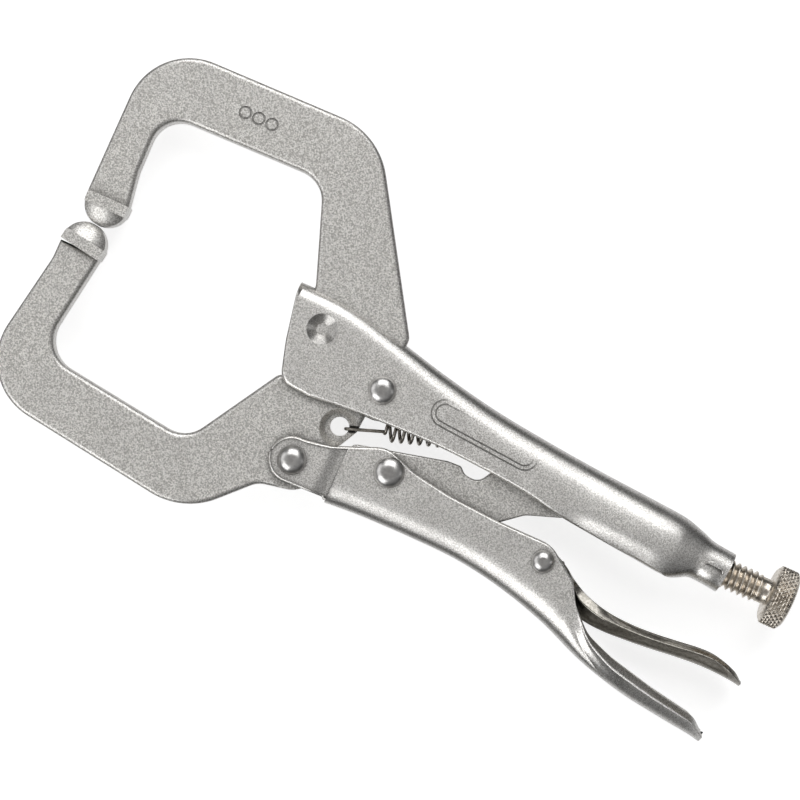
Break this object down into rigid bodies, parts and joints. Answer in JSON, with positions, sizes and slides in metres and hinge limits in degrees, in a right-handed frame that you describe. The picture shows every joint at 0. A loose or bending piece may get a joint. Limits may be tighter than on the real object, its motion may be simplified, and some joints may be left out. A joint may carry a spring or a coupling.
{
  "type": "locking pliers",
  "caption": "Locking C-clamp pliers: deep forged C jaws on folded sheet handles with an over-centre toggle, release lever and adjusting screw",
  "frame": {"origin": "centre of the box at the bench, with the tool lying on its side on the far rivet heads", "axes": "+X along the adjusting screw towards the knob, +Y towards the fixed upper jaw, +Z out of the bench"},
  "size_m": [0.1652, 0.0842, 0.0126],
  "materials": {
    "nickel_forging": "satin grainy nickel plate",
    "nickel_sheet": "satin to bright nickel plate",
    "polished_rivet": "polished nickel",
    "screw_steel": "brownish nickel plate",
    "spring_steel": "dark oiled spring wire"
  },
  "bodies": {
    "root": {"upper_handle": "nickel_sheet", "upper_jaw": "nickel_forging", "jaw_pivot_rivet": "polished_rivet", "tension_spring": "spring_steel"},
    "lower_jaw": {"lower_jaw": "nickel_forging"},
    "lower_handle": {"lower_handle": "nickel_sheet", "toggle_pivot_rivet": "polished_rivet", "link_pivot_rivet": "polished_rivet", "release_pivot_rivet": "polished_rivet"},
    "toggle_link": {"toggle_link": "nickel_forging"},
    "release_lever": {"release_lever": "nickel_sheet"},
    "screw_point": {"screw_point": "screw_steel"},
    "adjusting_screw": {"adjusting_screw": "screw_steel"}
  },
  "joints": [
    {"name": "jaw_open", "type": "hinge", "parent": "root", "child": "lower_jaw", "pos_m": [-0.00906, -0.00417, 0.00632], "axis": [0, 0, 1], "range_deg": [0, 23], "deforming": ["tension_spring"]},
    {"name": "handle_swing", "type": "hinge", "parent": "lower_jaw", "child": "lower_handle", "pos_m": [-0.01971, -0.02412, 0.00632], "axis": [0, 0, 1], "range_deg": [-63.1, 0]},
    {"name": "link_swing", "type": "hinge", "parent": "lower_handle", "child": "toggle_link", "pos_m": [-0.00111, -0.01842, 0.00632], "axis": [0, 0, 1], "range_deg": [0, 63.1]},
    {"name": "release", "type": "hinge", "parent": "lower_handle", "child": "release_lever", "pos_m": [0.03404, -0.02192, 0.00632], "axis": [0, 0, 1], "range_deg": [-4, 0]},
    {"name": "screw_travel", "type": "slide", "parent": "root", "child": "screw_point", "axis": [1, 0, 0], "range_m": [0, 0.01]},
    {"name": "screw_turn", "type": "hinge", "parent": "screw_point", "child": "adjusting_screw", "pos_m": [0.0778, -0.00912, 0.00632], "axis": [1, 0, 0], "range_deg": [-1, 2835.6]}
  ],
  "couplings": [
    {"joint": "handle_swing", "follows": "jaw_open", "ratio": -2.7},
    {"joint": "link_swing", "follows": "jaw_open", "ratio": 2.7},
    {"joint": "screw_turn", "follows": "screw_travel", "rad_per_m": 4947.4}
  ]
}
